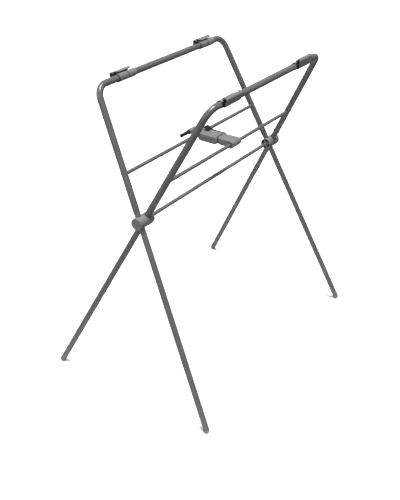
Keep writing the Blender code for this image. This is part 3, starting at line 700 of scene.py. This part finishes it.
def axle():
    """The rod between the hubs; its journals run through both tubes at each end."""
    nut_near = tube_x("back", "near") - LEG_TUBE - 0.0010
    nut_far = tube_x("front", "far") + LEG_TUBE + 0.0013
    shoulder_near = tube_x("front", "near") + LEG_TUBE + 0.0013
    shoulder_far = tube_x("back", "far") - LEG_TUBE - 0.0013
    tip = NUT_THICKNESS + 0.0002
    edge = 0.0004
    profile = [(nut_near - tip, THREAD - edge), (nut_near - tip + edge, THREAD), (nut_near + GAP, THREAD),
               (nut_near + GAP, JOURNAL), (shoulder_near, JOURNAL), (shoulder_near, AXLE - edge),
               (shoulder_near + edge, AXLE), (shoulder_far - edge, AXLE), (shoulder_far, AXLE - edge),
               (shoulder_far, JOURNAL), (nut_far - GAP, JOURNAL), (nut_far - GAP, THREAD),
               (nut_far + tip - edge, THREAD), (nut_far + tip, THREAD - edge)]
    piece("hub_axle", shade(lathe(profile, 48)), "back_frame", ["axle_rod"], "tube", PLACES["back"])
    for side, start, way in (("near", nut_near, -1), ("far", nut_far, 1)):
        nut = bar(NUT_RADIUS, start, start + way * NUT_THICKNESS, sides=6)
        bore = bar(THREAD + GAP, start - way * 0.001, start + way * 2 * NUT_THICKNESS)
        mesh = shade(rounded(combine(nut, [bore]), 0.0003, 2))
        piece(f"{side}_nut", mesh, "back_frame", [f"{side}_axle_nut"], "steel", PLACES["back"])


def build_hubs():
    axle()
    for side in SIDE:
        back_housing(side)
        front_housing(side)
    hub_cap("near", "back_frame", PLACES["back"])
    hub_cap("far", "front_frame", PLACES["front"])


# ---------------------------------------------------------------- rim clips

def clip_section():
    """Hook and full sleeve: outer skin, curled hook, lip and channel, then the sleeve's back."""
    outer = []
    skin_steps = 24
    for step in range(skin_steps + 1):
        angle = math.radians(-88 + 88 * step / skin_steps)
        radius = SLEEVE_OUTER + SKIN_RISE * step / skin_steps
        outer.append((radius * math.cos(angle), radius * math.sin(angle)))
    outer += arc(HOOK, HOOK_OUTER, -12, HOOK_TURN, 28)
    turn = math.radians(HOOK_TURN)
    along = (-math.sin(turn), math.cos(turn))
    tip_outer = (outer[-1][0] + LIP_LENGTH * along[0], outer[-1][1] + LIP_LENGTH * along[1])
    inner = arc(HOOK, HOOK_INNER, HOOK_TURN, -20, 26)
    inner_lip = LIP_LENGTH - 0.0006
    tip_inner = (inner[0][0] + inner_lip * along[0], inner[0][1] + inner_lip * along[1])
    floor = [(0.0118, 0.0098), (0.0102, 0.0083)]
    return outer + [tip_outer, tip_inner] + inner + floor + arc((0, 0), SLEEVE_OUTER, 50, 262, 44)


def ring_sector(inner, outer, start, end, steps=40):
    """Outline of a part of a ring, between two angles in degrees."""
    return arc((0, 0), outer, start, end, steps) + arc((0, 0), inner, end, start, steps)


def lip_cutter():
    """Cuts the start of the hook's lip off at a slant."""
    cutter = box((-0.050, -0.040, 0.0132), (0, 0.0005, 0.030))
    cutter.transform(Matrix.Translation((-CLIP_HALF + 0.008, HOOK[0], 0))
                     @ Matrix.Rotation(math.radians(60), 4, "Z"))
    return cutter


def skin_cutter():
    """Cuts the start of the skin off at a slant, but not the sleeve under it."""
    corner_box = box((-0.050, 0.002, -0.050), (0, 0.040, 0))
    corner_box.transform(Matrix.Translation((-CLIP_HALF + 0.003, 0, -0.001))
                         @ Matrix.Rotation(math.radians(35), 4, "Y"))
    return combine(corner_box, [bar(SLEEVE_OUTER + 0.0002, -0.1, 0.1, sides=70)])


def bare_end_cutter():
    """Past the skin's end it leaves only the inner side of the sleeve."""
    square = box((CLIP_SKIN_END, -0.040, -0.040), (SLEEVE_END + 0.010, 0.040, 0.040))
    kept = extrude(ring_sector(0.009, SLEEVE_OUTER + 0.0002, 70.5, 289.3, 61), 0, 0.1)
    return combine(square, [kept])


def clip_body_mesh():
    """Skin with the curled hook, and the part of the sleeve that the clamp half doesn't cover."""
    solid = extrude(clip_section(), -CLIP_HALF, SLEEVE_END)
    bore = bar(SLEEVE_INNER, -CLIP_HALF - MARGIN, SLEEVE_END + MARGIN)
    clamp_room = ring_sector(0.008, SLEEVE_OUTER + 0.0004, CLAMP_FROM - 1.1, CLAMP_TO + 1.1)
    clamp_zone = extrude(clamp_room, SLEEVE_START - 0.001, CLAMP_END)
    open_start = extrude(arc((0, 0), SLEEVE_OUTER + 0.0005, 0.7, 341, 60), -CLIP_HALF - MARGIN, SLEEVE_START)
    end_room = ring_sector(0.009, SLEEVE_OUTER + 0.0007, -84.3, 66.7, 47)
    open_end = extrude(end_room, CLIP_SKIN_END - 0.010, 0.1)
    cuts = [bore, clamp_zone, open_start, open_end, lip_cutter(), skin_cutter(), bare_end_cutter()]
    return shade(rounded(combine(solid, cuts), 0.00035, 2, 45), 35)


def clip_clamp_mesh():
    """The clamp half: the rest of the sleeve's round."""
    outline = ring_sector(SLEEVE_INNER, SLEEVE_OUTER, CLAMP_FROM, CLAMP_TO)
    solid = extrude(outline, SLEEVE_START, CLAMP_END - 0.0018)
    return shade(rounded(solid, 0.00035, 3, 45), 35)


def clip_bush_and_gap_shade_mesh():
    """The thin black bush between the sleeve and the bar; its black is partly a real dark bush edge at the
    sleeve's ends and partly painted shade in the gaps round the sleeve.
    """
    start, end = SLEEVE_START - 0.0025, SLEEVE_END - 0.001
    profile = [(start, BUSH_INNER), (start, BUSH_OUTER - 0.0001), (start + 0.0002, BUSH_OUTER),
               (end - 0.0002, BUSH_OUTER), (end, BUSH_OUTER - 0.0001), (end, BUSH_INNER)]
    return shade(lathe(profile, ROUND, closed=True))


def clip_shade_pad_mesh():
    """A soft black lining with fine lengthwise ribs in the hook's channel; its black is painted shade for
    the shaded inside of the hook.
    """
    low, high = -8, HOOK_TURN
    ribs = 24
    outline = arc(HOOK, HOOK_INNER - GAP, low, high, ribs)
    for step in range(ribs + 1):
        angle = math.radians(high + (low - high) * step / ribs)
        radius = HOOK_INNER - GAP - PAD_THICKNESS + 0.00022 * (step % 2)
        outline.append((HOOK[0] + radius * math.cos(angle), HOOK[1] + radius * math.sin(angle)))
    return shade(extrude(outline, -CLIP_HALF + 0.003, CLIP_SKIN_END - 0.002), 50)


def build_clips():
    """Four copies of the rim clip; those on the front bar face the other way."""
    meshes = {
        "body": (clip_body_mesh(), "plastic", "shell"),
        "clamp": (clip_clamp_mesh(), "plastic", "half"),
        # the bush's black is partly real and partly painted shade in the gaps round the sleeve
        "bush": (clip_bush_and_gap_shade_mesh(), "rubber", "liner"),
        # the pad's black is painted shade for the dark inside of the hook
        "pad": (clip_shade_pad_mesh(), "rubber", "shade_strip"),
    }
    for name, sign in SIGN.items():
        at = Vector((0, sign * math.sin(LEAN) * BAR_REACH, HUB_HEIGHT + math.cos(LEAN) * BAR_REACH))
        for side in SIDE:
            at.x = CLIP_MIDDLE + SIDE[side] * CLIP_SPREAD
            turn = Euler((CLIP_TILT[side], 0, math.pi if name == "front" else 0))
            place = Matrix.Translation(at) @ turn.to_matrix().to_4x4()
            for part, (mesh, finish, label) in meshes.items():
                piece(f"{name}_{side}_clip_{label}", mesh.copy(), f"{name}_{side}_clip",
                      [f"{name}_{side}_clip_{part}"], finish, place)


# ---------------------------------------------------------------- brace

WIDE = (BRACE_NEAR - MARGIN, BRACE_FAR + MARGIN)


def front_arm():
    """Pivots on the front cross rod; a tongue runs under the rear arm to the elbow pin."""
    outline = arc((0, 0), NOSE, 300, 95, 40) + [
        (SHOULDER, ARM_TOP), (SHOULDER, ARM_BOTTOM + 0.001), (0.0105, ARM_BOTTOM)]
    body = extrude(outline, BRACE_NEAR + 0.0004, BRACE_FAR - 0.0004)
    eye = arc(ELBOW, 0.0066, -90, 120, 24)
    tongue_outline = [(SHOULDER - 0.006, -0.0070), *eye, (SHOULDER + 0.008, -0.0018),
                      (SHOULDER - 0.006, -0.0018)]
    middle = (BRACE_NEAR + BRACE_FAR) / 2
    half = (BRACE_FAR - BRACE_NEAR) / 2 - CHEEK - 0.0012
    tongue = combine(extrude(tongue_outline, middle - half, middle + half), [bar(ELBOW_BORE, *WIDE, ELBOW)])
    piece("brace_tongue", shade(rounded(tongue, 0.0005, 2, 40), 35), "brace_front_arm", ["brace_front_arm"],
          "black", PLACES["brace"])
    ledge = box((middle - half, SHOULDER - 0.004, ARM_TOP - 0.0024), (middle + half, LEDGE_END, ARM_TOP))
    solid = combine(body, [ledge], "UNION")
    cuts = [bar(CROSS_ROD + GAP, *WIDE)]
    mesh = shade(rounded(combine(solid, cuts), 0.0007, 3, 40), 35)
    piece("brace_front_half", mesh, "brace_front_arm", ["brace_front_arm"], "plastic", PLACES["brace"])


def rear_arm_outline():
    """Side view from the elbow to the hook that drops over the back cross rod."""
    rod_y = 2 * ELBOW[0]
    room = CROSS_ROD + 0.00045
    mouth = [(rod_y + room, -0.0030)] + arc((rod_y, 0), room, 0, 153, 26)
    root = (rod_y - 0.0148, REAR_BOTTOM)
    lug = arc((rod_y + GRIP[0], GRIP[1]), LUG, -25, 150, 26)
    tip = arc((rod_y + room + 0.0022, -0.0030), 0.0022, 180, 360, 10)
    start = [(CHEEK_START, ARM_TOP), *arc((CHEEK_START + 0.008, REAR_BOTTOM + 0.008), 0.008, 180, 270, 12)]
    return start + [root, *reversed(mouth)] + tip[1:] + lug + [(rod_y - 0.006, ARM_TOP)]


def rear_arm():
    """A hollow arm with two cheeks round the tongue and a hook over the back cross rod."""
    solid = extrude(rear_arm_outline(), BRACE_NEAR, BRACE_FAR)
    inside = (BRACE_NEAR + CHEEK, BRACE_FAR - CHEEK)
    pocket = box((inside[0], CHEEK_START - 0.01, REAR_BOTTOM - 0.01),
                 (inside[1], ELBOW[0] + 0.0095, ARM_TOP - 0.0028))
    front_opening = box((inside[0], CHEEK_START - 0.01, 0), (inside[1], SKIN_START, ARM_TOP + 0.01))
    rear_rise = box((BRACE_NEAR + 0.014, 2 * ELBOW[0] - 0.030, ARM_TOP), (BRACE_FAR + 0.01, 0.2, 0.06))
    grip_at = (2 * ELBOW[0] + GRIP[0], GRIP[1])
    cuts = [pocket, front_opening, rear_rise, bar(ELBOW_BORE, *WIDE, ELBOW),
            bar(0.0022, BRACE_FAR - 0.012, WIDE[1], LEVER),
            bar(LEVER_ROUND, BRACE_FAR - 0.0040, WIDE[1], LEVER),
            bar(0.0033, WIDE[0], BRACE_NEAR + 0.011, grip_at)]
    mesh = shade(rounded(combine(solid, cuts), 0.0007, 3, 40), 35)
    piece("brace_rear_half", mesh, "brace_rear_arm", ["brace_rear_arm"], "plastic", PLACES["brace"])


def elbow_pin():
    """The rivet through both cheeks and the tongue, with a dimpled head on the near side."""
    profile = [(BRACE_NEAR - 0.0006, 0.0008), (BRACE_NEAR - 0.0009, 0.0014), (BRACE_NEAR - 0.0009, 0.0024),
               (BRACE_NEAR - 0.0007, 0.0031), (BRACE_NEAR - GAP, 0.0036), (BRACE_NEAR + 0.0001, 0.0035),
               (BRACE_NEAR + 0.0002, 0.0025), (BRACE_FAR - 0.0002, 0.0025), (BRACE_FAR - 0.0001, 0.0034),
               (BRACE_FAR + GAP, 0.0034), (BRACE_FAR + 0.0008, 0.0031), (BRACE_FAR + 0.0010, 0.0024)]
    mesh = lathe(profile, PIN_SIDES)
    mesh.transform(Matrix.Translation((0, *ELBOW)))
    piece("elbow_rivet", shade(mesh), "brace_rear_arm", ["elbow_pin"], "steel", PLACES["brace"])


def release_lever():
    """A flat bar beside the far cheek and a raised thumb tab over the arm."""
    near_side = BRACE_FAR + 0.0007
    top = ARM_TOP + 0.0008
    outline = [(CHEEK_START, ARM_TOP - 0.0060), (0.0700, ARM_TOP - 0.0065),
               (LEVER[0] - 0.0090, LEVER[1] - 0.0015), *arc(LEVER, LEVER_ROUND, 205, 335, 18),
               (LEVER[0] + 0.012, ARM_TOP - 0.0060), (0.1130, ARM_TOP - 0.0040), (0.1235, 0.0215),
               (0.1220, 0.0240), (0.1040, ARM_TOP + 0.0030), (0.0970, top), (CHEEK_START, top)]
    plate = extrude(outline, near_side, near_side + LEVER_THICKNESS)
    tab_outline = [(0.1045, 0.0147), (0.1232, 0.0217), (0.1220, 0.0240), (0.1040, 0.0170)]
    tab = extrude(tab_outline, near_side - 0.0197, near_side + 0.0033)
    bore = bar(0.0023, near_side - MARGIN, near_side + MARGIN, LEVER)
    mesh = shade(rounded(combine(combine(plate, [tab], "UNION"), [bore]), 0.0005, 3, 35), 35)
    piece("lever_plate", mesh, "release_lever", ["release_lever"], "black", PLACES["brace"])


def lever_pin():
    """The rivet that the release lever turns on."""
    inside, outside = BRACE_FAR - 0.0110, BRACE_FAR + 0.0054
    profile = [(inside, 0.0019), (outside, 0.0019), (outside, 0.0034), (outside + 0.0008, 0.0032),
               (outside + 0.0012, 0.0026), (outside + 0.0011, 0.0012), (outside + 0.0008, 0.0006)]
    mesh = lathe(profile, PIN_SIDES)
    mesh.transform(Matrix.Translation((0, *LEVER)))
    piece("lever_rivet", shade(mesh), "brace_rear_arm", ["lever_pin"], "steel", PLACES["brace"])


def lever_spring():
    """A torsion spring round the lever's pin, in its pocket."""
    turns, steps_per_turn, coil_radius = 3, 28, 0.0044
    pitch = 0.00108
    start = BRACE_FAR - 0.0034
    points = []
    for step in range(turns * steps_per_turn + 1):
        angle = 2 * math.pi * step / steps_per_turn
        points.append((start + pitch * step / steps_per_turn, LEVER[0] + coil_radius * math.cos(angle),
                       LEVER[1] + coil_radius * math.sin(angle)))
    piece("lever_coil", shade(sweep(points, 0.00045, 12)), "brace_rear_arm", ["lever_spring"], "steel",
          PLACES["brace"])


def grip_profile():
    """Ribs and grooves along the grip, as (x, radius) pairs."""
    near, collar = GRIP_ENDS
    profile = [(near, 0.0020), *quarter_edge(near, GRIP_RADIUS, 0.0012, 1)]
    pitch = (collar - near - 0.003) / GRIP_RIBS
    edge = GRIP_RADIUS - 0.0002
    steps = ((0.48, GRIP_RADIUS), (0.56, edge), (0.62, GRIP_GROOVE), (0.88, GRIP_GROOVE), (0.94, edge),
             (1.00, GRIP_RADIUS))
    for rib in range(GRIP_RIBS):
        start = near + 0.0012 + rib * pitch
        profile += [(start + part * pitch, radius) for part, radius in steps]
    return profile + [(collar - 0.0008, GRIP_RADIUS), (collar, GRIP_RADIUS - 0.0008), (collar, 0.0015)]


def lift_grip():
    """A ribbed finger grip on a stub beside the hook."""
    place = Matrix.Translation((0, 2 * ELBOW[0] + GRIP[0], GRIP[1]))
    grip = lathe(grip_profile(), PIN_SIDES)
    grip.transform(place)
    piece("grip_sleeve", shade(grip, 50), "brace_rear_arm", ["lift_grip"], "rubber", PLACES["brace"])
    collar, arm = GRIP_ENDS[1] + GAP, BRACE_NEAR - GAP
    stub_profile = [(collar - 0.0043, 0.0020), (collar, 0.0020), *quarter_edge(collar, LUG, 0.0012, 1),
                    (arm - 0.0003, LUG), (arm, LUG - 0.0003), (arm, 0.0030), (BRACE_NEAR + 0.010, 0.0030)]
    stub = lathe(stub_profile)
    stub.transform(place)
    piece("grip_collar", shade(stub), "brace_rear_arm", ["grip_stub"], "plastic", PLACES["brace"])


def build_brace():
    front_arm()
    rear_arm()
    elbow_pin()
    release_lever()
    lever_pin()
    lever_spring()
    lift_grip()


# ---------------------------------------------------------------- floor, light and camera

NEAR_FLOOR = 0.75
FAR_FLOOR = 30


def floor_sheet(name, radius, height, material):
    """A round flat sheet that reflections don't show."""
    bm = bmesh.new()
    bmesh.ops.create_circle(bm, cap_ends=True, segments=96, radius=radius)
    sheet = bpy.data.objects.new(name, mesh_from(bm))
    sheet.location.z = height
    bpy.context.scene.collection.objects.link(sheet)
    sheet.data.materials.append(material)
    sheet.visible_glossy = False
    return sheet


def build_floor():
    """A plain pale floor; only the part under the stand throws light back up at it."""
    nodes = Nodes("floor_paper")
    tone = nodes.spread(nodes.noise(3, 2.0), 0.3, 0.7, 0, 1)
    nodes.join(nodes.mix(tone, (0.90, 0.90, 0.90), (0.91, 0.91, 0.91)), nodes.shader.inputs["Base Color"])
    nodes.shader.inputs["Roughness"].default_value = 0.9
    nodes.shader.inputs["Specular IOR Level"].default_value = 0.0
    floor_sheet("floor_near", NEAR_FLOOR, 0.0, nodes.material)
    far = floor_sheet("floor_far", FAR_FLOOR, -0.0005, nodes.material)
    far.visible_diffuse = False


def area_light(name, location, target, size, power):
    """A rectangular light aimed at the target."""
    light = bpy.data.lights.new(name, "AREA")
    light.shape = "RECTANGLE"
    light.size, light.size_y = size
    light.energy = power
    obj = bpy.data.objects.new(name, light)
    bpy.context.scene.collection.objects.link(obj)
    obj.location = location
    obj.rotation_euler = (Vector(target) - Vector(location)).to_track_quat("-Z", "Y").to_euler()
    return obj


def build_light():
    """Even studio light: soft sun and sky from above, a small lamp on the left, low fills on both sides."""
    sun = bpy.data.lights.new("top_light", "SUN")
    sun.energy = 5.3
    sun.angle = math.radians(34)
    obj = bpy.data.objects.new("top_light", sun)
    bpy.context.scene.collection.objects.link(obj)
    obj.rotation_euler = Vector((0.02, 0.08, -1.0)).to_track_quat("-Z", "Y").to_euler()
    area_light("left_lamp", (-3.0, -0.4, 2.9), (0, 0, 0.8), (0.34, 0.34), 9)
    fill = area_light("right_fill", (3.1, -1.9, 0.30), (0, 0, 0.55), (2.4, 0.6), 20)
    fill.visible_glossy = False
    low = area_light("left_fill", (-3.0, 0.1, 0.25), (0, 0, 0.60), (1.8, 0.6), 42)
    low.visible_glossy = False


def build_sky():
    """A grey sky that is brighter high up; the camera sees it as white."""
    world = bpy.data.worlds.new("studio")
    bpy.context.scene.world = world
    world.use_nodes = True
    tree = world.node_tree
    background = tree.nodes["Background"]
    place = tree.nodes.new("ShaderNodeTexCoord")
    split = tree.nodes.new("ShaderNodeSeparateXYZ")
    tree.links.new(place.outputs["Generated"], split.inputs[0])
    ramp = tree.nodes.new("ShaderNodeValToRGB")
    stops = ramp.color_ramp.elements
    stops[0].position, stops[0].color = 0.0, (0.13, 0.13, 0.13, 1)
    stops[1].position, stops[1].color = 1.0, (0.40, 0.40, 0.41, 1)
    for position, grey in ((0.42, 0.15), (0.62, 0.22)):
        stops.new(position).color = (grey, grey, grey, 1)
    height = tree.nodes.new("ShaderNodeMapRange")
    height.inputs["From Min"].default_value = -1.0
    tree.links.new(split.outputs["Z"], height.inputs["Value"])
    tree.links.new(height.outputs["Result"], ramp.inputs[0])
    ray = tree.nodes.new("ShaderNodeLightPath")
    choose = tree.nodes.new("ShaderNodeMix")
    choose.data_type = "RGBA"
    for_others, for_camera = (choose.inputs[index] for index in Nodes.MIX_INPUTS)
    tree.links.new(ray.outputs["Is Camera Ray"], choose.inputs["Factor"])
    tree.links.new(ramp.outputs["Color"], for_others)
    for_camera.default_value = (1, 1, 1, 1)
    tree.links.new(choose.outputs[Nodes.MIX_OUTPUT], background.inputs["Color"])


def build_camera():
    """The camera that sees the stand from its near front corner, a little from above."""
    data = bpy.data.cameras.new("camera")
    data.lens = 56.05
    data.sensor_width = 36
    data.shift_x = -0.00246
    data.shift_y = 0.00124
    camera = bpy.data.objects.new("camera", data)
    bpy.context.scene.collection.objects.link(camera)
    camera.location = (-1.9795, -1.2734, 1.7104)
    camera.rotation_euler = [math.radians(a) for a in (59.41127, -0.84397, -55.80878)]
    bpy.context.scene.camera = camera


for frame_name in SIGN:
    build_frame(frame_name)
build_hubs()
build_clips()
build_brace()
build_floor()
build_light()
build_sky()
build_camera()
bpy.context.scene.view_settings.view_transform = "Standard"
